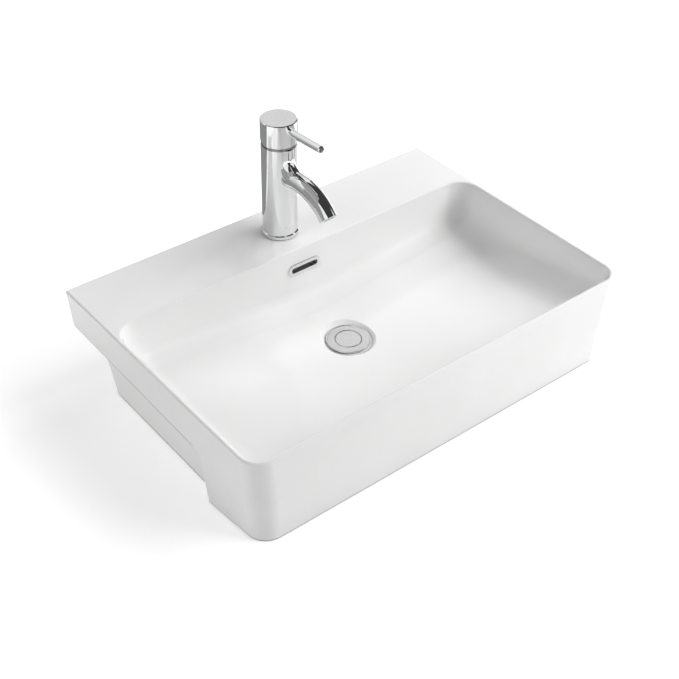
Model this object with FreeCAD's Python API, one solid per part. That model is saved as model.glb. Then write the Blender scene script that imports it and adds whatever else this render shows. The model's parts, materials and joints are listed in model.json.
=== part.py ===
import FreeCAD, Part
import math
import os

from FreeCAD import Placement, Rotation, Vector

# Semi recessed basin with a single lever tap, a push button waste and an overflow.
# Millimetres. The origin is on the worktop, at the middle of the back edge: X to the right, the
# wall at +Y, Z up. The rim stands on the worktop and the apron hangs in front of it.

# Basin casting
BASIN_WIDTH = 600.0
BASIN_DEPTH = 410.0
RIM_HEIGHT = 57.0
APRON_DROP = 76.0
FRONT_CORNER_R = 28.0
BACK_CORNER_R = 4.0
BACK_GRIND = 1.0
BASE_BACK_INSET = 10.5
BASE_NOTCH_INSET = 3.0
BASE_CORNER_INSET = 12.5
BASE_FRONT_INSET = 1.5
SIDE_BLEND = 40.0
RIM_WIDTH = 5.6
RIM_ROUND = 2.6
BASE_ROUND = 1.5
CASTING_WALL = 10.0
DECK_THICKNESS = 12.0

# Notch between the rim's underside and the back of the apron
NOTCH_BACK = 287.0
NOTCH_LEAN = 10.0
NOTCH_ROUND = 13.0

# Body below the worktop, set back from the rim
RECESS_SIDE = 13.0
RECESS_REAR = 50.0
RECESS_SIDE_DRAFT = 6.0
RECESS_REAR_DRAFT = 14.0
RECESS_CORNER_R = 15.0
REAR_CUTOUT = 190.0

# Bowl
DECK_DEPTH = 105.0
WALL_DRAFT = 12.0
BACK_DRAFT = 9.7
COVE_R = 45.0
BOWL_FRONT_R = 24.0
BOWL_BACK_R = 32.0
WASTE_Y = -208.0
FLOOR_DEPTH = 93.0
FLOOR_ROUND = 500.0
FLOOR_EASE = 5.0
SIDE_FALL = 0.09
BACK_FALL = 0.17
FRONT_FALL = 0.13
FLOOR_STATIONS = (90.0, 45.0, 20.0, 0.0, -20.0, -45.0, -80.0, -120.0, -170.0)
BOWL_BACK_SPARE = 37.0
BOWL_FRONT_SPARE = 28.0

# Waste hole and overflow way
WASTE_HOLE_R = 22.6
SEAT_R = 31.5
SEAT_DEPTH = 2.4
SEAT_FLARE = 17.0
SEAT_RISE = 12.0
BOSS_R = 38.0
BOSS_HEIGHT = 34.0
OVERFLOW_DROP = 29.0
OVERFLOW_WIDTH = 48.0
OVERFLOW_HEIGHT = 12.0
CHANNEL_WIDTH = 40.0
CHANNEL_GAP = 12.0
CHANNEL_INSET = 5.0
CHANNEL_WALL = 5.0

# Waste
WASHER_THICKNESS = 1.0
WASHER_INSET = 1.0
FLANGE_R = 30.0
FLANGE_THICKNESS = 2.6
FLANGE_LIP = 0.6
THREAD_R = 20.95
TAIL_BORE_R = 16.8
THROAT_R = 18.2
THROAT_DEPTH = 7.0
TAIL_LENGTH = 90.0
TRAP_THREAD = 27.0
RELIEF_WIDTH = 2.0
RELIEF_DEPTH = 0.8
WINDOW_WIDTH = 12.0
WINDOW_HEIGHT = 12.0
WINDOW_DROP = 18.0
SPOKE_WIDTH = 3.0
SPOKE_HEIGHT = 6.0
HUB_R = 7.5
HUB_DROP = 44.0
TAPER_WASHER_THICKNESS = 5.0
TAPER_WASHER_R = 29.0
TAPER_WASHER_FALL = 2.0
SLIP_WASHER_THICKNESS = 1.5
BACKNUT_THICKNESS = 9.0
BACKNUT_FLATS = 52.0
BACKNUT_ROUND = 2.0
PLUG_GAP = 0.6
PLUG_THICKNESS = 3.2
PLUG_BOSS_R = 6.0
PLUG_BOSS_LENGTH = 8.0
PLUG_SEAL_GAP = 1.0
PLUG_TRAVEL = 8.0
PLUNGER_R = 3.5
CLICK_BODY_R = 6.5
CLICK_BODY_EDGE = 1.0
PLUNGER_GRIP = 13.0
CLICK_FLOOR = 2.0
CLICK_SHANK_R = 5.0

# Overflow trim
TRIM_BORDER = 2.6
TRIM_WALL = 2.4
TRIM_THICKNESS = 1.6
TRIM_SLEEVE = 7.0

# Tap body and spout
TAP_Y = -56.0
TAP_HOLE_R = 17.5
TAP_R = 24.0
TAP_BODY_HEIGHT = 136.8
BASE_RING_R = 25.4
BASE_RING_HEIGHT = 5.5
BASE_RING_ROUND = 1.2
BASE_SEAL_THICKNESS = 1.0
BASE_SEAL_INSET = 1.0
TAP_NECK_R = 20.0
SPIGOT_R = 16.4
SPIGOT_LENGTH = 8.0
SPOUT_R = 12.4
SPOUT_BORE_R = 7.5
SPOUT_BORE_SETBACK = 8.0
SPOUT_ROOM = 17.2
SPOUT_RISE = 9.0
SPOUT_STRAIGHT = 40.3
SPOUT_BEND_R = 74.4
SPOUT_BEND = 52.8
SADDLE_R = 12.0
SADDLE_PROUD = 1.5
SADDLE_BEND_R = 27.0
HOSE_SOCKET_R = 4.6
HOSE_SOCKET_LENGTH = 16.0
HOSE_SPREAD = 7.4
HOSE_SETBACK = 2.0
HOSE_WAY_R = 3.2

# Aerator
AERATOR_LENGTH = 4.5
AERATOR_EDGE = 0.6
AERATOR_THREAD_R = 10.9
AERATOR_THREAD_LENGTH = 6.0
AERATOR_INSERT_R = 9.2
AERATOR_INSERT_LENGTH = 7.0
AERATOR_LIP = 1.0
AERATOR_RECESS = 1.2
AERATOR_HOLE_R = 0.9
AERATOR_SEAL_THICKNESS = 1.4

# Cartridge and its cover
CARTRIDGE_R = 18.0
CARTRIDGE_LENGTH = 24.0
CARTRIDGE_NECK_R = 15.0
CARTRIDGE_NECK_LENGTH = 8.0
CLAMP_NUT_R = 19.4
CLAMP_NUT_THREAD = 5.0
CLAMP_NUT_HEIGHT = 7.0
COVER_R = 20.4
COVER_WALL = 1.1
COVER_OPENING_R = 15.0
COVER_RING_R = 23.6
COVER_RING_HEIGHT = 3.0
PIVOT_DROP = 5.8
ROTOR_R = 11.0
ROTOR_LENGTH = 12.0
ROTOR_LEDGE = 2.0
SPINDLE_WIDTH = 8.0
SPINDLE_LENGTH = 37.0
SPINDLE_TAIL = 6.0
SPINDLE_PIN_R = 1.5
SPINDLE_PIN_SETBACK = 1.0

# Tap head and lever
HEAD_R = 24.5
HEAD_GAP = 1.2
HEAD_HEIGHT = 32.4
HEAD_BORE_R = 21.2
HEAD_CHAMFER = 1.0
HEAD_CLEARANCE = 1.0
HEAD_SOCKET_R = 7.0
HEAD_SOCKET_DEPTH = 9.0
DISC_R = 22.6
DISC_THICKNESS = 1.6
LIFT_ANGLE = 20.0
LIFT_SPARE = 1.0
LEVER_R = 5.0
LEVER_REACH = 89.8
LEVER_ROOT = 9.0
LEVER_DROP = 11.4
LEVER_RISE = 3.9
LEVER_CHAMFER = 1.0
GRUB_R = 2.5
GRUB_DROP = 13.4
GRUB_SETBACK = 1.5

# Tap fixing
STUD_R = 4.0
STUD_OFFSET = 10.0
STUD_LENGTH = 74.0
STUD_ENGAGEMENT = 14.0
CLAMP_R = 24.0
CLAMP_SLOT = 26.0
CLAMP_SLOT_CORNER = 3.0
CLAMP_BRIDGE = 2.0
GASKET_THICKNESS = 2.0
CLAMP_THICKNESS = 3.0
FIXING_NUT_FLATS = 13.0
FIXING_NUT_LENGTH = 12.0

# Clearances, and the overlap that cutting shapes are given
RUNNING_FIT = 0.05
THREAD_FIT = 0.05
SEAT_FIT = 0.3
HOLE_FIT = 0.3
OVERLAP = 1.0
SPARE = 20.0
REACH = 50.0

# Places worked out from the sizes above
HALF_WIDTH = BASIN_WIDTH / 2
FLOOR_Z = RIM_HEIGHT - FLOOR_DEPTH
SEAT_Z = FLOOR_Z - SEAT_DEPTH
BOSS_Z = SEAT_Z - BOSS_HEIGHT
FLANGE_BOTTOM = SEAT_Z + WASHER_THICKNESS
FLANGE_TOP = FLANGE_BOTTOM + FLANGE_THICKNESS
DECK_UNDERSIDE = RIM_HEIGHT - DECK_THICKNESS
WASTE_AXIS = Vector(0, WASTE_Y, 0)
TAP_AXIS = Vector(0, TAP_Y, 0)
UP = Vector(0, 0, 1)
BELOW = -APRON_DROP - REACH
ABOVE = RIM_HEIGHT + REACH
TAP_BASE = RIM_HEIGHT
TAP_TOP = TAP_BASE + TAP_BODY_HEIGHT
COVER_TOP = TAP_TOP + COVER_RING_HEIGHT
PIVOT_Z = COVER_TOP - PIVOT_DROP
HEAD_BOTTOM = COVER_TOP + HEAD_GAP
HEAD_TOP = HEAD_BOTTOM + HEAD_HEIGHT
CLICK_BODY_LENGTH = PLUG_TRAVEL + PLUNGER_GRIP
OVERFLOW_Z = RIM_HEIGHT - OVERFLOW_DROP
CHANNEL_FRONT = CHANNEL_INSET - DECK_DEPTH
WINDOW_Z = SEAT_Z - WINDOW_DROP
HUB_Z = SEAT_Z - HUB_DROP
PLUG_BOTTOM = FLANGE_TOP - PLUG_THICKNESS
RING_BOTTOM = TAP_BASE + BASE_SEAL_THICKNESS
SPIGOT_Z = TAP_BASE - SPIGOT_LENGTH
CHAMBER_Z = TAP_TOP - CLAMP_NUT_THREAD - CARTRIDGE_LENGTH
SPOUT_Z = CHAMBER_Z - SPOUT_ROOM
ROTOR_Z = PIVOT_Z - ROTOR_LENGTH / 2
STUD_AXIS = TAP_AXIS + Vector(0, STUD_OFFSET, 0)


def cylinder(radius, low, high, axis=Vector(0, 0, 0)):
    return Part.makeCylinder(radius, high - low, Vector(axis.x, axis.y, low), UP)


def ring(outer, inner, low, high, axis=Vector(0, 0, 0)):
    return cylinder(outer, low, high, axis).cut(cylinder(inner, low - OVERLAP, high + OVERLAP, axis))


def box(x0, x1, y0, y1, z0, z1):
    return Part.makeBox(x1 - x0, y1 - y0, z1 - z0, Vector(x0, y0, z0))


def revolved(profile, axis):
    """Turn a closed profile of (radius, height) points about an upright axis."""
    points = [Vector(axis.x + r, axis.y, z) for r, z in profile]
    face = Part.Face(Part.makePolygon(points + points[:1]))
    return face.revolve(Vector(axis.x, axis.y, 0), UP, 360)


def hexagon(flats, low, high, axis):
    corner = Vector(flats / math.sqrt(3), 0, 0)
    middle = Vector(axis.x, axis.y, low)
    corners = [middle + Rotation(UP, 60 * i).multVec(corner) for i in range(7)]
    return Part.Face(Part.makePolygon(corners)).extrude(Vector(0, 0, high - low))


def rounded_wire(corners):
    """Closed wire through (point, radius) corners: lines joined by tangent arcs."""
    edges = []
    starts = []
    ends = []
    count = len(corners)
    for i, (point, radius) in enumerate(corners):
        back = (corners[i - 1][0] - point).normalize()
        ahead = (corners[(i + 1) % count][0] - point).normalize()
        if radius == 0:
            starts.append(point)
            ends.append(point)
            continue
        half = back.getAngle(ahead) / 2
        reach = radius / math.tan(half)
        middle = (back + ahead).normalize()
        centre = point + middle * (radius / math.sin(half))
        starts.append(point + back * reach)
        ends.append(point + ahead * reach)
        edges.append((i, Part.Arc(starts[i], centre - middle * radius, ends[i]).toShape()))
    arcs = dict(edges)
    path = []
    for i in range(count):
        if i in arcs:
            path.append(arcs[i])
        if ends[i].distanceToPoint(starts[(i + 1) % count]) > 1e-6:
            path.append(Part.LineSegment(ends[i], starts[(i + 1) % count]).toShape())
    return Part.Wire(path)


def rectangle_wire(side, back, front, height, back_radius, front_radius):
    corners = [
        (Vector(-side, back, height), back_radius),
        (Vector(-side, front, height), front_radius),
        (Vector(side, front, height), front_radius),
        (Vector(side, back, height), back_radius),
    ]
    return rounded_wire(corners)


# ---------------------------------------------------------------- basin casting


def outer_wire(height, back_inset, notch_inset, corner_inset, front_inset):
    """Plan outline of the casting. A soft bend at the notch lets the apron draw in to its corners."""
    back = Vector(HALF_WIDTH - back_inset, BACK_GRIND, height)
    notch = Vector(HALF_WIDTH - notch_inset, -NOTCH_BACK - NOTCH_ROUND, height)
    front = Vector(HALF_WIDTH - corner_inset, front_inset - BASIN_DEPTH, height)

    def mirrored(point):
        return Vector(-point.x, point.y, point.z)

    def arc(before, corner, after, radius):
        to_back = (before - corner).normalize()
        to_next = (after - corner).normalize()
        half = to_back.getAngle(to_next) / 2
        reach = radius / math.tan(half)
        middle = (to_back + to_next).normalize()
        inner = corner + middle * (radius / math.sin(half) - radius)
        return corner + to_back * reach, inner, corner + to_next * reach

    b0, b1, b2 = arc(mirrored(back), back, notch, BACK_CORNER_R)
    f0, f1, f2 = arc(notch, front, mirrored(front), FRONT_CORNER_R)
    n0 = notch + (b2 - notch).normalize() * SIDE_BLEND
    n2 = notch + (f0 - notch).normalize() * SIDE_BLEND

    def side(points):
        p0, p1, p2, q0, q1, q2, r0, r1, r2 = points
        bend = Part.BezierCurve()
        bend.setPoles([q0, q1, q2])
        return [
            Part.Arc(p0, p1, p2).toShape(),
            Part.LineSegment(p2, q0).toShape(),
            bend.toShape(),
            Part.LineSegment(q2, r0).toShape(),
            Part.Arc(r0, r1, r2).toShape(),
        ]

    right = [b0, b1, b2, n0, notch, n2, f0, f1, f2]
    left = [mirrored(p) for p in reversed(right)]
    edges = side(right)
    edges.append(Part.LineSegment(f2, left[0]).toShape())
    edges += side(left)
    edges.append(Part.LineSegment(left[-1], b0).toShape())
    return Part.Wire(edges)


def notch_cutter():
    """Clears everything under the rim behind the apron, with the round at the apron's shoulder."""
    low = -APRON_DROP - SPARE
    lean = -low * NOTCH_LEAN / APRON_DROP
    corner = -NOTCH_BACK - NOTCH_ROUND
    points = [
        (Vector(0, SPARE, 0), 0),
        (Vector(0, corner, 0), NOTCH_ROUND),
        (Vector(0, corner - lean, low), 0),
        (Vector(0, SPARE, low), 0),
    ]
    face = Part.Face(rounded_wire(points))
    face.translate(Vector(-HALF_WIDTH - SPARE, 0, 0))
    return face.extrude(Vector(BASIN_WIDTH + 2 * SPARE, 0, 0))


def recess_wire(height, grow):
    """Plan outline of the body below the worktop. It draws in towards its base."""
    down = -height / APRON_DROP
    side = HALF_WIDTH - RECESS_SIDE - RECESS_SIDE_DRAFT * down + grow
    back = -RECESS_REAR - RECESS_REAR_DRAFT * down + grow
    front = -NOTCH_BACK - NOTCH_ROUND - 2 * CASTING_WALL
    return rectangle_wire(side, back, front, height, RECESS_CORNER_R + grow, 0)


def base_wire():
    return outer_wire(
        -APRON_DROP,
        BASE_BACK_INSET,
        BASE_NOTCH_INSET,
        BASE_CORNER_INSET,
        BASE_FRONT_INSET,
    )


def casting_outside():
    """Rim, apron and recessed body as one block, with the back ground flat."""
    whole = Part.makeLoft([outer_wire(RIM_HEIGHT, 0, 0, 0, 0), base_wire()], True, True)
    beyond = box(-BASIN_WIDTH, BASIN_WIDTH, 0, SPARE, BELOW, ABOVE)
    rim_and_apron = whole.cut(beyond).cut(notch_cutter())
    recess = Part.makeLoft([recess_wire(CASTING_WALL, 0), recess_wire(-APRON_DROP, 0)], True, True)
    return rim_and_apron.fuse(recess).removeSplitter()


def rise(y):
    """How far the floor has risen at a distance behind the waste, or in front of it if negative."""
    fall = BACK_FALL if y > 0 else FRONT_FALL
    return math.hypot(y * fall, FLOOR_EASE) - FLOOR_EASE


def across_wire(y, grow):
    """Section across the bowl: side walls, coves and the floor that falls to the middle."""
    lean = math.tan(math.radians(WALL_DRAFT))
    side = HALF_WIDTH - RIM_WIDTH + grow
    eased = FLOOR_ROUND * (math.hypot(1, SIDE_FALL) - 1)
    low = FLOOR_Z - grow + rise(y - WASTE_Y) - eased
    depth = (RIM_HEIGHT - low - side * SIDE_FALL) / (1 - lean * SIDE_FALL)
    foot = Vector(side - lean * depth, y, RIM_HEIGHT - depth)
    top = Vector(side + lean * (ABOVE - RIM_HEIGHT), y, ABOVE)
    corners = [
        (Vector(-top.x, y, ABOVE), 0),
        (Vector(-foot.x, y, foot.z), COVE_R + grow),
        (Vector(0, y, low), FLOOR_ROUND),
        (foot, COVE_R + grow),
        (top, 0),
    ]
    return rounded_wire(corners)


def bowl_form(grow):
    """The inside of the bowl, or with grow the outside of its shell."""
    def front(height):
        return RIM_WIDTH - BASIN_DEPTH - grow + leaned(height, WALL_DRAFT)

    def back(height):
        return grow - DECK_DEPTH - leaned(height, BACK_DRAFT)

    def chain(wall):
        """Edges from rim to rim round the foot of a wall."""
        return [
            edge
            for edge in bowl.Edges
            if all(abs(end.Y - wall(end.Z)) < 0.01 for end in edge.Vertexes)
            and edge.BoundBox.ZMin < ABOVE - OVERLAP
        ]

    places = [BOWL_BACK_SPARE - DECK_DEPTH]
    places += [WASTE_Y + y for y in FLOOR_STATIONS]
    places.append(-BASIN_DEPTH - BOWL_FRONT_SPARE)
    ends = [(front, ABOVE), (front, BELOW), (back, BELOW), (back, ABOVE), (front, ABOVE)]
    section = Part.makePolygon([Vector(-HALF_WIDTH - SPARE, wall(z), z) for wall, z in ends])
    between = Part.Face(section).extrude(Vector(BASIN_WIDTH + 2 * SPARE, 0, 0))
    bowl = Part.makeLoft([across_wire(y, grow) for y in places], True, False).common(between)
    bowl = bowl.makeFillet(BOWL_FRONT_R + grow, chain(front))
    bowl = bowl.makeFillet(BOWL_BACK_R + grow, chain(back))
    seat = revolved(
        [
            (0, SEAT_Z - grow),
            (SEAT_R + grow, SEAT_Z - grow),
            (SEAT_R + SEAT_FLARE + grow, SEAT_Z + SEAT_RISE),
            (0, SEAT_Z + SEAT_RISE),
        ],
        WASTE_AXIS,
    )
    return bowl.fuse(seat)


def leaned(height, draft):
    """How far a wall that starts at the rim has leaned inwards at a height."""
    return (RIM_HEIGHT - height) * math.tan(math.radians(draft))


def on_back_wall(shape):
    """Move a shape drawn about the Z axis on to the bowl's back wall, facing into the bowl."""
    point = Vector(0, -DECK_DEPTH - leaned(OVERFLOW_Z, BACK_DRAFT), OVERFLOW_Z)
    shape.Placement = Placement(point, Rotation(Vector(1, 0, 0), 90 - BACK_DRAFT))
    return shape


def slot(width, height, low, high):
    """Rounded slot about the Z axis, from low to high."""
    radius = height / 2
    end = Vector(width / 2 - radius, 0, 0)
    middle = box(-end.x, end.x, -radius, radius, low, high)
    ends = [cylinder(radius, low, high, end), cylinder(radius, low, high, -end)]
    return middle.fuse(ends).removeSplitter()


def cavity_wire(height):
    """Inside of the walls below the worktop, one wall in from their outside."""
    down = max(-height, 0) / APRON_DROP
    side = HALF_WIDTH - RECESS_SIDE - RECESS_SIDE_DRAFT * down - CASTING_WALL
    back = -RECESS_REAR - RECESS_REAR_DRAFT * down - CASTING_WALL
    front = BASE_FRONT_INSET + CASTING_WALL - BASIN_DEPTH
    back_radius = RECESS_CORNER_R - CASTING_WALL
    return rectangle_wire(side, back, front, height, back_radius, FRONT_CORNER_R - CASTING_WALL)


def channel(wall):
    """Overflow way down behind the back wall and forward under the floor, or its duct with a wall."""
    half = CHANNEL_WIDTH / 2 + wall
    front = CHANNEL_FRONT - wall
    back = CHANNEL_FRONT + CHANNEL_GAP + wall
    top = OVERFLOW_Z + OVERFLOW_HEIGHT / 2 + wall
    low = WINDOW_Z - WINDOW_HEIGHT / 2 - wall
    high = WINDOW_Z + WINDOW_HEIGHT / 2 + wall
    fall = box(-half, half, front, back, low, top)
    run = box(-half, half, WASTE_Y, back, low, high)
    return fall.fuse(run)


def underside():
    """Hollow below the deck and round the bowl, open downwards."""
    low = Part.makeLoft([cavity_wire(0), cavity_wire(-APRON_DROP - SPARE)], True, True)
    high = Part.Face(cavity_wire(0)).extrude(Vector(0, 0, DECK_UNDERSIDE))
    boss = cylinder(BOSS_R, BOSS_Z, RIM_HEIGHT, WASTE_AXIS)
    hollow = low.fuse(high).cut(bowl_form(CASTING_WALL)).cut(boss).cut(channel(CHANNEL_WALL))
    gutter_side = HALF_WIDTH - BASE_BACK_INSET - CASTING_WALL
    gutter = box(-gutter_side, gutter_side, -RECESS_REAR, -CASTING_WALL, -SPARE, DECK_UNDERSIDE)
    rear = -RECESS_REAR - RECESS_REAR_DRAFT - 2 * CASTING_WALL
    opening = box(-REAR_CUTOUT / 2, REAR_CUTOUT / 2, rear, -RECESS_REAR, BELOW, DECK_UNDERSIDE)
    opening = opening.cut(channel(CHANNEL_WALL))
    pieces = sorted(hollow.Solids, key=lambda solid: solid.Volume)
    return pieces[-1].fuse([gutter, opening])


def lies_on(edge, wire):
    middle = edge.valueAt((edge.FirstParameter + edge.LastParameter) / 2)
    return wire.distToShape(Part.Vertex(middle))[0] < 0.01


def basin_body():
    body = casting_outside().cut(bowl_form(0)).cut(underside())
    crest = [edge for edge in body.Edges if edge.BoundBox.ZMin > RIM_HEIGHT - 0.01]
    body = body.makeFillet(RIM_ROUND, crest)
    base = base_wire()
    body = body.makeFillet(BASE_ROUND, [edge for edge in body.Edges if lies_on(edge, base)])
    body = body.cut(cylinder(WASTE_HOLE_R, BELOW, RIM_HEIGHT, WASTE_AXIS))
    body = body.cut(cylinder(TAP_HOLE_R, 0, ABOVE, TAP_AXIS))
    body = body.cut(channel(0))
    reach = CHANNEL_FRONT + CHANNEL_GAP / 2 + DECK_DEPTH + leaned(OVERFLOW_Z, BACK_DRAFT)
    return body.cut(on_back_wall(slot(OVERFLOW_WIDTH, OVERFLOW_HEIGHT, -reach, SPARE)))


def overflow_trim():
    width = OVERFLOW_WIDTH - 2 * RUNNING_FIT
    height = OVERFLOW_HEIGHT - 2 * RUNNING_FIT
    border = slot(width + 2 * TRIM_BORDER, height + 2 * TRIM_BORDER, 0, TRIM_THICKNESS)
    sleeve = slot(width, height, -TRIM_SLEEVE, TRIM_THICKNESS)
    way = slot(width - 2 * TRIM_WALL, height - 2 * TRIM_WALL, -TRIM_SLEEVE - OVERLAP, SPARE)
    front = [edge for edge in border.Edges if edge.BoundBox.ZMin > TRIM_THICKNESS - 0.01]
    return on_back_wall(border.makeFillet(TRIM_THICKNESS / 2, front).fuse(sleeve).cut(way).removeSplitter())


# ---------------------------------------------------------------- waste


def waste_flange():
    """Flange, throat and slotted tail, with a spoked hub that carries the click mechanism."""
    bottom = FLANGE_TOP - TAIL_LENGTH
    ledge = FLANGE_TOP - THROAT_DEPTH
    lip = FLANGE_LIP
    relief = bottom + lip + TRAP_THREAD
    body = revolved(
        [
            (TAIL_BORE_R, bottom),
            (THREAD_R - lip, bottom),
            (THREAD_R, bottom + lip),
            (THREAD_R, relief),
            (THREAD_R - RELIEF_DEPTH, relief),
            (THREAD_R - RELIEF_DEPTH, relief + RELIEF_WIDTH),
            (THREAD_R, relief + RELIEF_WIDTH),
            (THREAD_R, FLANGE_BOTTOM),
            (FLANGE_R - lip, FLANGE_BOTTOM),
            (FLANGE_R, FLANGE_BOTTOM + lip),
            (FLANGE_R, FLANGE_TOP - lip),
            (FLANGE_R - lip, FLANGE_TOP),
            (FLANGE_R - 2 * lip, FLANGE_TOP),
            (FLANGE_R - 3 * lip, FLANGE_TOP - lip),
            (THROAT_R + lip, FLANGE_TOP - lip),
            (THROAT_R, FLANGE_TOP - 2 * lip),
            (THROAT_R, ledge),
            (TAIL_BORE_R, ledge),
        ],
        WASTE_AXIS,
    )
    for turn in range(4):
        half = WINDOW_WIDTH / 2
        window = box(TAIL_BORE_R - OVERLAP, THREAD_R + OVERLAP, -half, half, 0, WINDOW_HEIGHT)
        window.rotate(Vector(0, 0, 0), UP, 90 * turn)
        window.translate(Vector(0, WASTE_Y, WINDOW_Z - WINDOW_HEIGHT / 2))
        body = body.cut(window)
    for turn in range(3):
        half = SPOKE_WIDTH / 2
        spoke = box(HUB_R - OVERLAP, TAIL_BORE_R + OVERLAP, -half, half, 0, SPOKE_HEIGHT)
        spoke.rotate(Vector(0, 0, 0), UP, 90 + 120 * turn)
        spoke.translate(Vector(0, WASTE_Y, HUB_Z))
        body = body.fuse(spoke)
    body = body.fuse(cylinder(HUB_R, HUB_Z, HUB_Z + SPOKE_HEIGHT, WASTE_AXIS))
    return body.cut(cylinder(CLICK_SHANK_R + THREAD_FIT, BELOW, HUB_Z + SPOKE_HEIGHT + OVERLAP, WASTE_AXIS))


def waste_top_washer():
    return ring(FLANGE_R - WASHER_INSET, THREAD_R + HOLE_FIT, SEAT_Z, FLANGE_BOTTOM, WASTE_AXIS)


def waste_taper_washer():
    low = BOSS_Z - TAPER_WASHER_THICKNESS
    return revolved(
        [
            (THREAD_R + HOLE_FIT, low),
            (TAPER_WASHER_R, low),
            (TAPER_WASHER_R - TAPER_WASHER_FALL, BOSS_Z),
            (THREAD_R + HOLE_FIT, BOSS_Z),
        ],
        WASTE_AXIS,
    )


def waste_slip_washer():
    high = BOSS_Z - TAPER_WASHER_THICKNESS
    return ring(TAPER_WASHER_R, THREAD_R + HOLE_FIT, high - SLIP_WASHER_THICKNESS, high, WASTE_AXIS)


def waste_backnut():
    high = BOSS_Z - TAPER_WASHER_THICKNESS - SLIP_WASHER_THICKNESS
    nut = hexagon(BACKNUT_FLATS, high - BACKNUT_THICKNESS, high, WASTE_AXIS)
    rounding = cylinder(BACKNUT_FLATS / 2 + BACKNUT_ROUND, high - BACKNUT_THICKNESS, high, WASTE_AXIS)
    return nut.common(rounding).cut(cylinder(THREAD_R + THREAD_FIT, BELOW, high + OVERLAP, WASTE_AXIS))


def click_body():
    """Housing of the click mechanism: a bored cup with a shank screwed into the hub."""
    seat = HUB_Z + SPOKE_HEIGHT
    return revolved(
        [
            (0, HUB_Z),
            (CLICK_SHANK_R, HUB_Z),
            (CLICK_SHANK_R, seat),
            (CLICK_BODY_R, seat),
            (CLICK_BODY_R, seat + CLICK_BODY_LENGTH - CLICK_BODY_EDGE),
            (CLICK_BODY_R - CLICK_BODY_EDGE, seat + CLICK_BODY_LENGTH),
            (PLUNGER_R + RUNNING_FIT, seat + CLICK_BODY_LENGTH),
            (PLUNGER_R + RUNNING_FIT, seat + CLICK_FLOOR),
            (0, seat + CLICK_FLOOR),
        ],
        WASTE_AXIS,
    )


def click_plunger():
    low = HUB_Z + SPOKE_HEIGHT + CLICK_FLOOR + SEAT_FIT
    return cylinder(PLUNGER_R, low, PLUG_BOTTOM, WASTE_AXIS)


def plug_button():
    """Flat button flush in the flange, with a boss under it that takes the plunger."""
    return revolved(
        [
            (0, PLUG_BOTTOM),
            (PLUNGER_R, PLUG_BOTTOM),
            (PLUNGER_R, PLUG_BOTTOM - PLUG_BOSS_LENGTH),
            (PLUG_BOSS_R, PLUG_BOTTOM - PLUG_BOSS_LENGTH),
            (PLUG_BOSS_R, PLUG_BOTTOM),
            (THROAT_R - PLUG_GAP, PLUG_BOTTOM),
            (THROAT_R - PLUG_GAP, FLANGE_TOP - 2 * FLANGE_LIP),
            (THROAT_R - PLUG_GAP - FLANGE_LIP, FLANGE_TOP - FLANGE_LIP),
            (0, FLANGE_TOP - FLANGE_LIP),
        ],
        WASTE_AXIS,
    )


def plug_seal():
    low = FLANGE_TOP - THROAT_DEPTH + SEAT_FIT
    return ring(THROAT_R - PLUG_GAP, PLUG_BOSS_R + PLUG_SEAL_GAP, low, PLUG_BOTTOM, WASTE_AXIS)


# ---------------------------------------------------------------- tap


def heading(angle):
    """Unit vector out of the tap towards the front, at an angle above level."""
    return Vector(0, -math.cos(math.radians(angle)), math.sin(math.radians(angle)))


def spout_point(angle):
    """Point of the spout's centre line where it heads at an angle, on its bend."""
    start = TAP_AXIS + Vector(0, 0, SPOUT_Z) + heading(SPOUT_RISE) * SPOUT_STRAIGHT
    centre = start - heading(SPOUT_RISE + 90) * SPOUT_BEND_R
    return centre + heading(angle + 90) * SPOUT_BEND_R


def spout_tube(radius, setback):
    """Tube along the spout, from setback in front of the tap's axis to the mouth."""
    root = TAP_AXIS + Vector(0, 0, SPOUT_Z) + heading(SPOUT_RISE) * setback
    mouth = SPOUT_RISE - SPOUT_BEND
    path = Part.Wire(
        [
            Part.LineSegment(root, spout_point(SPOUT_RISE)).toShape(),
            Part.Arc(
                spout_point(SPOUT_RISE), spout_point(SPOUT_RISE - SPOUT_BEND / 2), spout_point(mouth)
            ).toShape(),
        ]
    )
    section = Part.Wire(Part.Circle(root, heading(SPOUT_RISE), radius).toShape())
    return path.makePipeShell([section], True, False)


def saddle():
    """Tube down the front of the body that bends out along the spout, for the hollow blend above it."""
    end = spout_point(0)
    start = Vector(0, TAP_Y - TAP_R - SADDLE_PROUD + SADDLE_R, TAP_TOP)
    centre = Vector(0, start.y - SADDLE_BEND_R, end.z + SADDLE_BEND_R)
    bend = [centre - heading(angle) * SADDLE_BEND_R for angle in (0, 45, 90)]
    path = Part.Wire(
        [
            Part.LineSegment(start, bend[0]).toShape(),
            Part.Arc(*bend).toShape(),
            Part.LineSegment(bend[2], end).toShape(),
        ]
    )
    section = Part.Wire(Part.Circle(start, UP, SADDLE_R).toShape())
    return path.makePipeShell([section], True, False)


def along_spout(shape):
    """Move a shape drawn about the Z axis to the spout's mouth, with Z leading out of it."""
    mouth = SPOUT_RISE - SPOUT_BEND
    shape.Placement = Placement(spout_point(mouth), Rotation(UP, heading(mouth)))
    return shape


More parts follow.
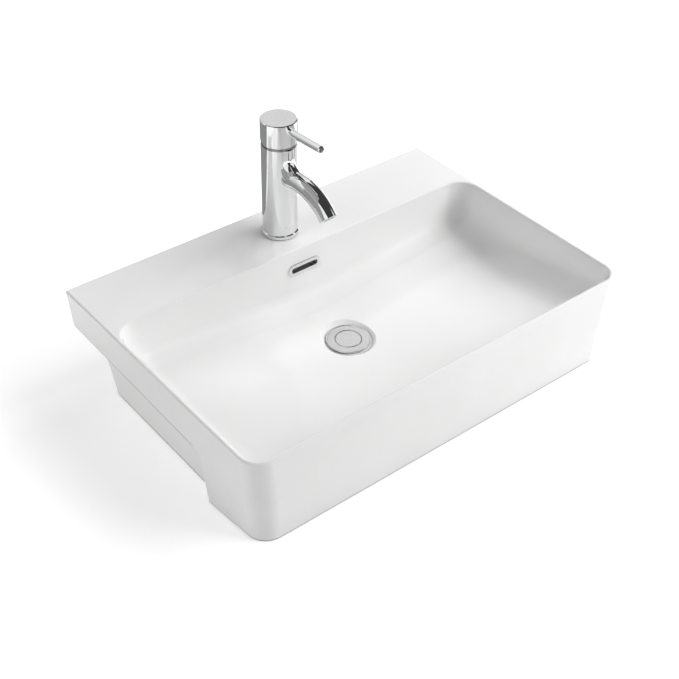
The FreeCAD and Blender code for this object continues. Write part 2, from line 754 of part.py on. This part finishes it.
def tap_body():
    """Casting with the spout: cartridge chamber, hose ways, stud socket and the spout's bore."""
    ring_top = RING_BOTTOM + BASE_RING_HEIGHT
    body = cylinder(TAP_R, ring_top, TAP_TOP, TAP_AXIS)
    body = body.fuse([spout_tube(SPOUT_R, 0), saddle()])
    body = body.fuse(cylinder(TAP_NECK_R, RING_BOTTOM, ring_top, TAP_AXIS))
    body = body.fuse(cylinder(SPIGOT_R, SPIGOT_Z, RING_BOTTOM, TAP_AXIS))
    body = body.cut(spout_tube(SPOUT_BORE_R, SPOUT_BORE_SETBACK))
    body = body.cut(cylinder(CARTRIDGE_R + RUNNING_FIT, CHAMBER_Z, TAP_TOP + OVERLAP, TAP_AXIS))
    shoulder = CHAMBER_Z + CARTRIDGE_LENGTH
    body = body.cut(cylinder(CLAMP_NUT_R + THREAD_FIT, shoulder, TAP_TOP + OVERLAP, TAP_AXIS))
    mixed = TAP_AXIS - Vector(0, SPOUT_BORE_SETBACK + HOSE_WAY_R, 0)
    body = body.cut(cylinder(HOSE_WAY_R, SPOUT_Z, CHAMBER_Z + OVERLAP, mixed))
    for side in (-1, 1):
        place = TAP_AXIS + Vector(side * HOSE_SPREAD, -HOSE_SETBACK, 0)
        body = body.cut(cylinder(HOSE_SOCKET_R, BELOW, SPIGOT_Z + HOSE_SOCKET_LENGTH, place))
        body = body.cut(cylinder(HOSE_WAY_R, SPIGOT_Z, CHAMBER_Z + OVERLAP, place))
    body = body.cut(cylinder(STUD_R, BELOW, SPIGOT_Z + STUD_ENGAGEMENT, STUD_AXIS))
    depth = AERATOR_THREAD_LENGTH + AERATOR_SEAL_THICKNESS
    socket = cylinder(AERATOR_THREAD_R + THREAD_FIT, -depth, OVERLAP)
    return body.cut(along_spout(socket))


def tap_base_ring():
    high = RING_BOTTOM + BASE_RING_HEIGHT
    return revolved(
        [
            (TAP_NECK_R + RUNNING_FIT, RING_BOTTOM),
            (BASE_RING_R, RING_BOTTOM),
            (BASE_RING_R, high - BASE_RING_ROUND),
            (BASE_RING_R - BASE_RING_ROUND, high),
            (TAP_NECK_R + RUNNING_FIT, high),
        ],
        TAP_AXIS,
    )


def tap_base_seal():
    return ring(BASE_RING_R - BASE_SEAL_INSET, SPIGOT_R + RUNNING_FIT, TAP_BASE, RING_BOTTOM, TAP_AXIS)


def aerator_housing():
    inner = AERATOR_INSERT_R + RUNNING_FIT
    lip = AERATOR_INSERT_R - AERATOR_LIP
    return along_spout(
        revolved(
            [
                (inner, -AERATOR_THREAD_LENGTH),
                (AERATOR_THREAD_R, -AERATOR_THREAD_LENGTH),
                (AERATOR_THREAD_R, 0),
                (SPOUT_R, 0),
                (SPOUT_R, AERATOR_LENGTH - AERATOR_EDGE),
                (SPOUT_R - AERATOR_EDGE, AERATOR_LENGTH),
                (lip, AERATOR_LENGTH),
                (lip, AERATOR_LENGTH - AERATOR_RECESS),
                (inner, AERATOR_LENGTH - AERATOR_RECESS),
            ],
            Vector(0, 0, 0),
        )
    )


def aerator_insert():
    """Jet disc with rings of holes."""
    high = AERATOR_LENGTH - AERATOR_RECESS
    disc = cylinder(AERATOR_INSERT_R, high - AERATOR_INSERT_LENGTH, high)
    for count, radius in ((6, AERATOR_INSERT_R / 3), (12, AERATOR_INSERT_R * 2 / 3)):
        for i in range(count):
            turn = 2 * math.pi * i / count
            place = Vector(radius * math.cos(turn), radius * math.sin(turn), 0)
            disc = disc.cut(cylinder(AERATOR_HOLE_R, -SPARE, SPARE, place))
    return along_spout(disc)


def aerator_seal():
    low = -AERATOR_THREAD_LENGTH - AERATOR_SEAL_THICKNESS
    return along_spout(ring(AERATOR_THREAD_R, SPOUT_BORE_R, low, -AERATOR_THREAD_LENGTH))


def cartridge_body():
    shoulder = CHAMBER_Z + CARTRIDGE_LENGTH
    body = cylinder(CARTRIDGE_R, CHAMBER_Z, shoulder, TAP_AXIS)
    body = body.fuse(cylinder(CARTRIDGE_NECK_R, shoulder, shoulder + CARTRIDGE_NECK_LENGTH, TAP_AXIS))
    body = body.cut(cylinder(ROTOR_R + RUNNING_FIT, ROTOR_Z, ABOVE + TAP_TOP, TAP_AXIS))
    return body.cut(cylinder(ROTOR_R - ROTOR_LEDGE, ROTOR_Z - SPINDLE_TAIL / 2, ROTOR_Z + OVERLAP, TAP_AXIS))


def cartridge_rotor():
    """Turning guide of the spindle, slotted so that the spindle can tilt."""
    body = cylinder(ROTOR_R, ROTOR_Z, ROTOR_Z + ROTOR_LENGTH, TAP_AXIS)
    half = SPINDLE_WIDTH / 2 + RUNNING_FIT
    swing = SPINDLE_WIDTH / 2 + ROTOR_LENGTH * math.tan(math.radians(LIFT_ANGLE))
    slit = box(-half, half, TAP_Y - swing, TAP_Y + swing, ROTOR_Z - OVERLAP, ABOVE + TAP_TOP)
    return body.cut(slit).cut(spindle_pin_of(0))


def spindle_pin_of(clearance):
    reach = ROTOR_R - SPINDLE_PIN_SETBACK
    start = Vector(-reach, TAP_Y, PIVOT_Z)
    return Part.makeCylinder(SPINDLE_PIN_R + clearance, 2 * reach, start, Vector(1, 0, 0))


def cartridge_pin():
    return spindle_pin_of(0)


def cartridge_spindle():
    half = SPINDLE_WIDTH / 2
    low = PIVOT_Z - SPINDLE_TAIL
    body = box(-half, half, TAP_Y - half, TAP_Y + half, low, low + SPINDLE_LENGTH)
    return body.cut(spindle_pin_of(RUNNING_FIT))


def cartridge_nut():
    low = TAP_TOP - CLAMP_NUT_THREAD
    return ring(CLAMP_NUT_R, CARTRIDGE_NECK_R + RUNNING_FIT, low, low + CLAMP_NUT_HEIGHT, TAP_AXIS)


def cartridge_cover():
    """Thin ring under the head with a dome that the head tilts over."""
    pivot = Vector(0, TAP_Y, PIVOT_Z)
    above = cylinder(COVER_R + OVERLAP, TAP_TOP, ABOVE + TAP_TOP, TAP_AXIS)
    ball = Part.makeSphere(COVER_R, pivot).common(above)
    hollow = Part.makeSphere(COVER_R - COVER_WALL, pivot)
    body = cylinder(COVER_RING_R, TAP_TOP, COVER_TOP, TAP_AXIS).fuse(ball).cut(hollow)
    nut_top = TAP_TOP - CLAMP_NUT_THREAD + CLAMP_NUT_HEIGHT
    nut_room = cylinder(CLAMP_NUT_R + RUNNING_FIT, TAP_TOP - OVERLAP, nut_top + RUNNING_FIT, TAP_AXIS)
    body = body.cut(nut_room)
    return body.cut(cylinder(COVER_OPENING_R, TAP_TOP, ABOVE + TAP_TOP, TAP_AXIS))


def lever_rod(radius, near, far):
    root = TAP_AXIS + Vector(0, 0, HEAD_TOP - LEVER_DROP) + heading(LEVER_RISE) * near
    return Part.makeCylinder(radius, far - near, root, heading(LEVER_RISE))


def tap_head():
    """Hollow cap over the dome, bevelled at the back below so that it can tilt."""
    ceiling = PIVOT_Z + COVER_R + HEAD_CLEARANCE
    body = revolved(
        [
            (HEAD_BORE_R, HEAD_BOTTOM),
            (HEAD_R, HEAD_BOTTOM),
            (HEAD_R, HEAD_TOP - HEAD_CHAMFER),
            (HEAD_R - HEAD_CHAMFER, HEAD_TOP),
            (DISC_R + RUNNING_FIT, HEAD_TOP),
            (DISC_R + RUNNING_FIT, HEAD_TOP - DISC_THICKNESS),
            (0, HEAD_TOP - DISC_THICKNESS),
            (0, ceiling - HEAD_SOCKET_DEPTH),
            (HEAD_SOCKET_R, ceiling - HEAD_SOCKET_DEPTH),
            (HEAD_SOCKET_R, ceiling),
            (HEAD_BORE_R, ceiling),
        ],
        TAP_AXIS,
    )
    half = SPINDLE_WIDTH / 2
    socket_top = PIVOT_Z - SPINDLE_TAIL + SPINDLE_LENGTH
    body = body.cut(box(-half, half, TAP_Y - half, TAP_Y + half, HEAD_BOTTOM, socket_top))
    body = body.cut(lever_rod(LEVER_R, LEVER_ROOT, HEAD_R + OVERLAP))
    body = body.cut(grub_rod(HEAD_R + OVERLAP))
    length = 2 * HEAD_R
    slope = math.tan(math.radians(LIFT_ANGLE + LIFT_SPARE))
    bevel = [
        Vector(-length, TAP_Y, HEAD_BOTTOM - OVERLAP),
        Vector(-length, TAP_Y + length, HEAD_BOTTOM - OVERLAP),
        Vector(-length, TAP_Y + length, HEAD_BOTTOM + length * slope),
        Vector(-length, TAP_Y, HEAD_BOTTOM),
    ]
    wedge = Part.Face(Part.makePolygon(bevel + bevel[:1])).extrude(Vector(2 * length, 0, 0))
    return body.cut(wedge)


def tap_head_disc():
    return cylinder(DISC_R, HEAD_TOP - DISC_THICKNESS, HEAD_TOP, TAP_AXIS)


def tap_lever():
    rod = lever_rod(LEVER_R, LEVER_ROOT, LEVER_REACH)
    tip = [
        edge
        for edge in rod.Edges
        if edge.BoundBox.YMax < TAP_Y - HEAD_R and not edge.isSeam(rod.Faces[0])
    ]
    return rod.makeChamfer(LEVER_CHAMFER, tip)


def grub_rod(far):
    start = Vector(0, TAP_Y + SPINDLE_WIDTH / 2, HEAD_TOP - GRUB_DROP)
    return Part.makeCylinder(GRUB_R, far - SPINDLE_WIDTH / 2, start, Vector(0, 1, 0))


def tap_grub_screw():
    return grub_rod(HEAD_R - GRUB_SETBACK)


# ---------------------------------------------------------------- tap fixing


def mounting_stud():
    high = SPIGOT_Z + STUD_ENGAGEMENT
    return cylinder(STUD_R, high - STUD_LENGTH, high, STUD_AXIS)


def horseshoe(high, thickness):
    """Disc with a slot for the hoses, open to the front, and a hole for the stud."""
    low = high - thickness
    plate = cylinder(CLAMP_R, low, high, TAP_AXIS)
    slot_end = TAP_Y + STUD_OFFSET - STUD_R - CLAMP_BRIDGE
    half = CLAMP_SLOT / 2
    corners = rectangle_wire(half, slot_end, TAP_Y - 2 * CLAMP_R, low, CLAMP_SLOT_CORNER, 0)
    gap = Part.Face(corners).extrude(Vector(0, 0, thickness))
    hole = cylinder(STUD_R + HOLE_FIT, low - OVERLAP, high + OVERLAP, STUD_AXIS)
    return plate.cut(gap).cut(hole)


def fixing_gasket():
    return horseshoe(DECK_UNDERSIDE, GASKET_THICKNESS)


def fixing_clamp():
    return horseshoe(DECK_UNDERSIDE - GASKET_THICKNESS, CLAMP_THICKNESS)


def fixing_nut():
    high = DECK_UNDERSIDE - GASKET_THICKNESS - CLAMP_THICKNESS
    nut = hexagon(FIXING_NUT_FLATS, high - FIXING_NUT_LENGTH, high, STUD_AXIS)
    return nut.cut(cylinder(STUD_R + THREAD_FIT, BELOW, ABOVE, STUD_AXIS))


PIECES = [
    basin_body,
    overflow_trim,
    waste_flange,
    waste_top_washer,
    waste_taper_washer,
    waste_slip_washer,
    waste_backnut,
    click_body,
    click_plunger,
    plug_button,
    plug_seal,
    tap_body,
    tap_base_ring,
    tap_base_seal,
    aerator_housing,
    aerator_insert,
    aerator_seal,
    cartridge_body,
    cartridge_rotor,
    cartridge_pin,
    cartridge_spindle,
    cartridge_nut,
    cartridge_cover,
    tap_head,
    tap_head_disc,
    tap_lever,
    tap_grub_screw,
    mounting_stud,
    fixing_gasket,
    fixing_clamp,
    fixing_nut,
]

os.makedirs("parts", exist_ok=True)
for piece in PIECES:
    name = piece.__name__
    shape = piece()
    print(name, len(shape.Solids), shape.isValid(), round(shape.Volume))
    shape.exportStep("parts/" + name + ".step")
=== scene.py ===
import json
import math

import bpy
from mathutils import Matrix, Vector


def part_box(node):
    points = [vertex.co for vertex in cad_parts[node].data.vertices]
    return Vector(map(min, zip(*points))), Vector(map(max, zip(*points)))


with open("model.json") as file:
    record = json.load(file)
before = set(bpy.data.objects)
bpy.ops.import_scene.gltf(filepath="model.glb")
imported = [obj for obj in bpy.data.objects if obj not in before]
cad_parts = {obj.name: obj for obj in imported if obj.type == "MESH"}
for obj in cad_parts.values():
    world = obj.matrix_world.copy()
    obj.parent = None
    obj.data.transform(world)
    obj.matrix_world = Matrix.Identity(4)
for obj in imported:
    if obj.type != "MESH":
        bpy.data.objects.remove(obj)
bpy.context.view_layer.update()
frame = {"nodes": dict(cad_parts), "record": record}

# Semi recessed basin on a white studio floor. Metres, in the frame of the CAD part.

FLOOR_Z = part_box("basin_body")[0].z
WASTE_AXIS = sum(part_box("waste_flange"), Vector()) / 2
TAP_AXIS = sum(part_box("tap_head_disc"), Vector()) / 2
COVER_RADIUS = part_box("cartridge_cover")[1].x
COVER_EDGE = 0.0005

# Dark clay colour shows at the basin's foot, where it is bare clay darkened as painted contact
# shade, and in a thin line of painted shade under the rim on the outer sides, from the front of the
# apron's notch to the back.
# Both lines fade out at a multiple of their height, set by the fade constant below.
FOOT_EDGE = 0.0018
RIM_EDGE = 0.0010
DARK_LINE_FADE = 1.5
NOTCH_FRONT = -0.287
RIM_INSET = 0.012
RIM_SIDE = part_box("basin_body")[1].x - RIM_INSET


# ---------------------------------------------------------------- node helpers


class Nodes:
    """Short words for building a material's node tree."""

    def __init__(self, name):
        self.material = bpy.data.materials.new(name)
        self.material.use_nodes = True
        self.tree = self.material.node_tree
        self.tree.nodes.clear()
        self.output = self.tree.nodes.new("ShaderNodeOutputMaterial")
        self.place = self.tree.nodes.new("ShaderNodeTexCoord").outputs["Object"]

    def put(self, node, key, value):
        """Link a socket to a node's input, or set the input to a plain value."""
        if isinstance(value, bpy.types.NodeSocket):
            self.tree.links.new(value, node.inputs[key])
        else:
            node.inputs[key].default_value = value

    def add(self, kind, inputs=None, **settings):
        node = self.tree.nodes.new(kind)
        for key, value in settings.items():
            setattr(node, key, value)
        for key, value in (inputs or {}).items():
            self.put(node, key, value)
        return node

    def noise(self, scale, detail, place=None):
        inputs = {"Vector": place or self.place, "Scale": scale, "Detail": detail}
        return self.add("ShaderNodeTexNoise", inputs).outputs["Fac"]

    def spread(self, value, low, high, start=0.3, end=0.7):
        """A value of start to end becomes low to high."""
        inputs = {"Value": value, "From Min": start, "From Max": end, "To Min": low, "To Max": high}
        return self.add("ShaderNodeMapRange", inputs).outputs["Result"]

    def blend(self, factor, low, high):
        """Colour between low and high, which are the mix node's inputs 6 and 7. Output 2 has it."""
        inputs = {0: factor, 6: low, 7: high}
        return self.add("ShaderNodeMix", inputs, data_type="RGBA").outputs[2]

    def math(self, operation, first, second=0.0):
        return self.add("ShaderNodeMath", {0: first, 1: second}, operation=operation).outputs[0]

    def split(self, vector=None):
        """The X, Y and Z of a vector, or else of the surface point."""
        return self.add("ShaderNodeSeparateXYZ", {0: vector or self.place}).outputs

    def upward(self):
        """The Z of the surface's normal: 1 on a level top, -1 on a level underside."""
        return self.split(self.add("ShaderNodeNewGeometry").outputs["Normal"])["Z"]

    def radius_from(self, axis):
        """Distance of the surface point from an upright axis."""
        point = self.split()
        across = self.math("SUBTRACT", point["X"], axis.x)
        along = self.math("SUBTRACT", point["Y"], axis.y)
        squares = [self.math("MULTIPLY", leg, leg) for leg in (across, along)]
        return self.math("SQRT", self.math("ADD", *squares))

    def bump(self, height, depth, normal=None):
        inputs = {"Height": height, "Distance": depth, "Strength": 1.0}
        if normal:
            inputs["Normal"] = normal
        return self.add("ShaderNodeBump", inputs).outputs["Normal"]

    def finish(self, inputs):
        shader = self.add("ShaderNodeBsdfPrincipled", inputs)
        self.tree.links.new(shader.outputs[0], self.output.inputs["Surface"])
        return self.material


def grey(value, warmth=0.0):
    return (value + warmth, value, value - warmth, 1.0)


# ---------------------------------------------------------------- materials


def glaze():
    """White vitreous glaze. Dark clay colour on undersides and at the foot is bare clay plus
    painted shade; under the rim it is painted shade.
    """
    n = Nodes("glaze")
    cloud = n.noise(9.0, 3.0)
    white = n.blend(n.spread(cloud, 0.0, 1.0), grey(0.87, 0.002), grey(0.90, 0.001))
    speck = n.noise(900.0, 2.0)
    # Dark clay colour: bare clay darkened as painted contact shade at the foot and undersides, and
    # painted shade alone in the line under the rim.
    clay_and_shade = n.blend(n.spread(speck, 0.0, 1.0), grey(0.26, 0.01), grey(0.34, 0.01))
    point = n.split()
    from_middle = n.math("ABSOLUTE", point["X"])
    ground = n.spread(n.upward(), 1.0, 0.0, -0.5, -0.25)
    foot = n.spread(point["Z"], 1.0, 0.0, FLOOR_Z + FOOT_EDGE, FLOOR_Z + DARK_LINE_FADE * FOOT_EDGE)
    # Thin band of painted shade just under the rim's edge on the outer sides.
    below = n.spread(point["Z"], 1.0, 0.0, RIM_EDGE, DARK_LINE_FADE * RIM_EDGE)
    above = n.spread(point["Z"], 0.0, 1.0, -RIM_EDGE, 0.0)
    behind = n.spread(point["Y"], 0.0, 1.0, NOTCH_FRONT, NOTCH_FRONT + RIM_EDGE)
    outside = n.spread(from_middle, 0.0, 1.0, RIM_SIDE, RIM_SIDE + RIM_EDGE)
    level = n.math("MULTIPLY", below, above)
    shade_under_rim = n.math("MULTIPLY", level, n.math("MULTIPLY", behind, outside))
    bare_and_shaded = n.math("MAXIMUM", n.math("MAXIMUM", ground, foot), shade_under_rim)
    wave = n.bump(n.noise(28.0, 1.0), 0.00025)
    return n.finish(
        {
            "Base Color": n.blend(bare_and_shaded, white, clay_and_shade),
            "Roughness": n.math("ADD", n.spread(cloud, 0.10, 0.15), n.math("MULTIPLY", bare_and_shaded, 0.6)),
            "IOR": 1.5,
            "Coat Weight": 0.35,
            "Coat Roughness": 0.04,
            "Normal": n.bump(n.noise(420.0, 1.0), 0.000006, wave),
        }
    )


def chrome():
    """Bright plating over cast brass, with the faint wipe marks of a used tap."""
    n = Nodes("chrome")
    wipe = n.noise(55.0, 4.0)
    film = n.noise(14.0, 2.0)
    return n.finish(
        {
            "Base Color": n.blend(n.spread(film, 0.0, 1.0), grey(0.80, -0.006), grey(0.86, -0.004)),
            "Metallic": 1.0,
            "Roughness": n.spread(wipe, 0.045, 0.085),
            "Normal": n.bump(n.noise(70.0, 1.0), 0.00002),
        }
    )


def cover():
    """Plated edge ring drawn dark as painted shade, that turns to dull black painted shade where it
    lies in the gap under the tap's head.
    """
    n = Nodes("cover")
    level = n.spread(n.upward(), 0.0, 1.0, 0.05, 0.15)
    radius = n.radius_from(TAP_AXIS)
    inside = n.spread(radius, 1.0, 0.0, COVER_RADIUS - 2 * COVER_EDGE, COVER_RADIUS - COVER_EDGE)
    # Painted shade: the plating is dark grey, and black where the ring lies in the gap under the
    # head.
    gap_shade = n.math("MAXIMUM", level, inside)
    return n.finish(
        {
            "Base Color": n.blend(gap_shade, grey(0.28, -0.004), grey(0.015)),
            "Metallic": n.math("SUBTRACT", 1.0, gap_shade),
            "Roughness": n.spread(gap_shade, 0.06, 0.5, 0.0, 1.0),
        }
    )


def satin(name, axis):
    """Metal brushed in rings about an upright axis."""
    n = Nodes(name)
    rings = n.add("ShaderNodeCombineXYZ", {"X": n.radius_from(axis)}).outputs[0]
    lines = n.noise(5200.0, 2.0, rings)
    broad = n.noise(700.0, 2.0, rings)
    stain = n.noise(60.0, 3.0)
    return n.finish(
        {
            "Base Color": n.blend(n.spread(broad, 0.0, 1.0), grey(0.78, 0.002), grey(0.88, 0.002)),
            "Metallic": 1.0,
            "Roughness": n.math("ADD", n.spread(lines, 0.24, 0.38), n.spread(stain, -0.03, 0.03)),
            "Normal": n.bump(lines, 0.000012),
        }
    )


def turned(name, low, high, tarnish):
    """Machined metal: fine tool lines along Z and patches of dulling."""
    n = Nodes(name)
    height = n.add("ShaderNodeCombineXYZ", {"Z": n.split()["Z"]}).outputs[0]
    lines = n.noise(4200.0, 2.0, height)
    patch = n.noise(160.0, 4.0)
    clean = n.blend(n.spread(lines, 0.0, 1.0), low, high)
    return n.finish(
        {
            "Base Color": n.blend(n.spread(patch, 0.0, 0.55, 0.5, 0.75), clean, tarnish),
            "Metallic": 1.0,
            "Roughness": n.math("ADD", n.spread(lines, 0.2, 0.3), n.spread(patch, 0.0, 0.15)),
            "Normal": n.bump(lines, 0.00001),
        }
    )


def moulded(name, low, high, roughness, grain, depth):
    """Moulded rubber or plastic with a fine grain."""
    n = Nodes(name)
    fine = n.noise(grain, 3.0)
    broad = n.noise(45.0, 2.0)
    return n.finish(
        {
            "Base Color": n.blend(n.spread(broad, 0.0, 1.0), low, high),
            "Roughness": n.spread(fine, roughness - 0.06, roughness + 0.06),
            "IOR": 1.48,
            "Normal": n.bump(fine, depth),
        }
    )


# name, colour from and to, roughness, grain, depth of the grain
MOULDED = (
    ("rubber", grey(0.018), grey(0.030), 0.62, 1500.0, 0.00002),
    ("plastic_white", grey(0.74, 0.01), grey(0.80, 0.006), 0.42, 2200.0, 0.000008),
    ("plastic_grey", grey(0.10, -0.004), grey(0.14, -0.004), 0.45, 2200.0, 0.000008),
)
# name, colour from and to, colour where it is dulled
TURNED = (
    ("brass", (0.62, 0.43, 0.16, 1.0), (0.78, 0.58, 0.26, 1.0), (0.36, 0.24, 0.10, 1.0)),
    ("steel", grey(0.52, -0.006), grey(0.66, -0.004), (0.38, 0.36, 0.31, 1.0)),
)
MATERIALS = {
    "glaze": glaze(),
    "chrome": chrome(),
    "cover": cover(),
    "satin_metal": satin("satin_waste", WASTE_AXIS),
    "satin_disc": satin("satin_disc", TAP_AXIS),
    **{row[0]: moulded(*row) for row in MOULDED},
    **{row[0]: turned(*row) for row in TURNED},
}
# Nodes that look unlike the rest of their material slot.
OWN_MATERIAL = {
    "tap_head_disc": "satin_disc",
    "cartridge_cover": "cover",
    "plug_button": "satin_metal",
}

for part in frame["record"]["subparts"]:
    node = frame["nodes"][part["node"]]
    chosen = OWN_MATERIAL.get(part["node"], part["material_slot"])
    node.data.materials.clear()
    node.data.materials.append(MATERIALS[chosen])


# ---------------------------------------------------------------- studio

# The floor's own light as the camera and reflections see it is FLOOR_GLOW out to GLOW_NEAR from the
# waste's axis, and rises to white at GLOW_FAR.
FLOOR_COLOUR = 0.9
FLOOR_GLOW = 0.45
GLOW_NEAR = 0.9
GLOW_FAR = 1.8
FLOOR_REACH = 6.0
FLOOR_HOLE = 0.045
SKY_LIGHT = 0.05
AIM = Vector((0.0, -0.2, 0.0))
DARK = 0.05
CEILING_Z = 1.35
BACK_Z = 1.3
LOW_Z = FLOOR_Z + 0.01
SIDE_FOOT = -0.06

# name, x from and to, y from and to, z, shade
LEVEL_BOARDS = (
    ("ceiling_right", -0.12, 1.5, -2.4, 0.6, CEILING_Z, DARK),
    ("ceiling_front", -1.0, -0.12, -2.4, -0.3, CEILING_Z, DARK),
    ("ceiling_left", -1.6, -0.12, -0.3, 0.9, CEILING_Z, 0.38),
    ("floor_front", 0.15, 0.7, -1.1, -0.66, LOW_Z, 0.08),
    ("floor_behind", -1.6, 0.5, 0.14, 1.6, LOW_Z, 0.30),
)
# name, x and y of its two ends, z of its foot and head, shade at its foot and head
UPRIGHT_BOARDS = (
    ("left_side", (-1.7, -0.4), (-1.7, 1.0), SIDE_FOOT, CEILING_Z, 0.30, 0.38),
    ("front_side", (-0.7, -2.4), (0.8, -2.4), 0.05, CEILING_Z, DARK, DARK),
    ("right_side", (1.5, -0.7), (1.5, 1.0), 0.3, CEILING_Z, 0.10, DARK),
    ("behind", (-1.8, 1.0), (1.5, 1.0), SIDE_FOOT, BACK_Z, 0.30, 1.0),
)
# name, place, side, power in watts
LAMPS = (
    ("right", (2.1, -0.5, 1.7), 1.4, 27.0),
    ("front_right", (1.5, -1.9, 1.6), 1.6, 49.0),
    ("left", (-2.2, 0.4, 1.4), 1.6, 18.0),
    ("right_high", (1.3, -0.2, 2.1), 0.8, 6.0),
    ("back", (0.4, 1.9, 1.9), 1.6, 5.0),
    ("left_low", (-2.6, -0.4, 0.7), 1.2, 9.0),
    ("right_back", (1.9, 0.9, 1.3), 0.7, 14.0),
)


def sheet(name, corners, faces):
    """Flat studio piece, in the scene but not yet painted."""
    mesh = bpy.data.meshes.new(name)
    mesh.from_pydata(corners, [], faces)
    piece = bpy.data.objects.new(name, mesh)
    bpy.context.scene.collection.objects.link(piece)
    return piece


def square(x, y, reach):
    """Four corners round a point of the floor."""
    return [
        (x - reach, y - reach, FLOOR_Z),
        (x + reach, y - reach, FLOOR_Z),
        (x + reach, y + reach, FLOOR_Z),
        (x - reach, y + reach, FLOOR_Z),
    ]


def studio_floor():
    """White floor that pales with distance. The waste hangs through a hole in it."""
    corners = square(0.0, 0.0, FLOOR_REACH) + square(WASTE_AXIS.x, WASTE_AXIS.y, FLOOR_HOLE)
    faces = [(i, (i + 1) % 4, 4 + (i + 1) % 4, 4 + i) for i in range(4)]
    floor = sheet("studio_floor", corners, faces)
    n = Nodes("studio_floor")
    path = n.add("ShaderNodeLightPath")
    seen = n.math("MAXIMUM", path.outputs["Is Camera Ray"], path.outputs["Is Glossy Ray"])
    paint = n.add("ShaderNodeBsdfDiffuse", {"Color": grey(FLOOR_COLOUR)})
    away = n.spread(n.radius_from(WASTE_AXIS), FLOOR_GLOW, 1.0, GLOW_NEAR, GLOW_FAR)
    glow = n.add("ShaderNodeEmission", {"Strength": n.math("MULTIPLY", seen, away)})
    both = n.add("ShaderNodeAddShader", {0: paint.outputs[0], 1: glow.outputs[0]})
    n.tree.links.new(both.outputs[0], n.output.inputs["Surface"])
    floor.data.materials.append(n.material)


def board(name, corners, low, high):
    """Board that only reflections show. Its grey is low at the foot and high at the head."""
    piece = sheet(name, corners, [(0, 1, 2, 3)])
    piece.visible_camera = False
    piece.visible_diffuse = False
    piece.visible_shadow = False
    piece.visible_transmission = False
    n = Nodes(name)
    foot = min(corner[2] for corner in corners)
    head = max(corner[2] for corner in corners)
    shade = grey(low)
    if head > foot:
        shade = n.blend(n.spread(n.split()["Z"], 0.0, 1.0, foot, head), shade, grey(high))
    glow = n.add("ShaderNodeEmission", {"Color": shade})
    n.tree.links.new(glow.outputs[0], n.output.inputs["Surface"])
    piece.data.materials.append(n.material)


def studio_world():
    """Even sky light. It is plain white where the camera, metal or glass sees it."""
    world = bpy.data.worlds.new("studio")
    bpy.context.scene.world = world
    world.use_nodes = True
    tree = world.node_tree
    tree.nodes.clear()
    output = tree.nodes.new("ShaderNodeOutputWorld")
    path = tree.nodes.new("ShaderNodeLightPath")
    shown = tree.nodes.new("ShaderNodeMath")
    shown.operation = "MAXIMUM"
    tree.links.new(path.outputs["Is Camera Ray"], shown.inputs[0])
    tree.links.new(path.outputs["Is Glossy Ray"], shown.inputs[1])
    mix = tree.nodes.new("ShaderNodeMixShader")
    tree.links.new(shown.outputs[0], mix.inputs[0])
    for index, strength in ((1, SKY_LIGHT), (2, 1.0)):
        sky = tree.nodes.new("ShaderNodeBackground")
        sky.inputs["Color"].default_value = grey(1.0)
        sky.inputs["Strength"].default_value = strength
        tree.links.new(sky.outputs[0], mix.inputs[index])
    tree.links.new(mix.outputs[0], output.inputs[0])


def lamp(name, place, side, power):
    """Soft square lamp at a place, turned to AIM. Reflections don't show it."""
    data = bpy.data.lights.new(name, "AREA")
    data.shape = "RECTANGLE"
    data.size = data.size_y = side
    data.energy = power
    piece = bpy.data.objects.new(name, data)
    piece.location = place
    piece.rotation_euler = (AIM - Vector(place)).to_track_quat("-Z", "Y").to_euler()
    piece.visible_glossy = False
    bpy.context.scene.collection.objects.link(piece)


studio_floor()
studio_world()
for name, x0, x1, y0, y1, z, shade in LEVEL_BOARDS:
    board(name, [(x0, y0, z), (x1, y0, z), (x1, y1, z), (x0, y1, z)], shade, shade)
for name, start, end, foot, head, low, high in UPRIGHT_BOARDS:
    board(name, [(*start, foot), (*end, foot), (*end, head), (*start, head)], low, high)
for row in LAMPS:
    lamp(*row)


# ---------------------------------------------------------------- camera

# Angles in degrees, lens in millimetres.
CAMERA_PLACE = (-0.835685, -1.205448, 1.016234)
CAMERA_AZIMUTH = -39.433
CAMERA_PITCH = 38.998
CAMERA_ROLL = 1.324
CAMERA_LENS = 66.107

around, down = math.radians(CAMERA_AZIMUTH), math.radians(CAMERA_PITCH)
back = Vector(
    (math.sin(around) * math.cos(down), -math.cos(around) * math.cos(down), math.sin(down))
)
turn = Matrix.Rotation(math.radians(CAMERA_ROLL), 4, "Z")
camera_data = bpy.data.cameras.new("camera")
camera_data.lens = CAMERA_LENS
camera = bpy.data.objects.new("camera", camera_data)
camera.matrix_world = (
    Matrix.Translation(CAMERA_PLACE) @ (-back).to_track_quat("-Z", "Y").to_matrix().to_4x4() @ turn
)
bpy.context.scene.collection.objects.link(camera)
bpy.context.scene.camera = camera
bpy.context.scene.view_settings.view_transform = "Standard"
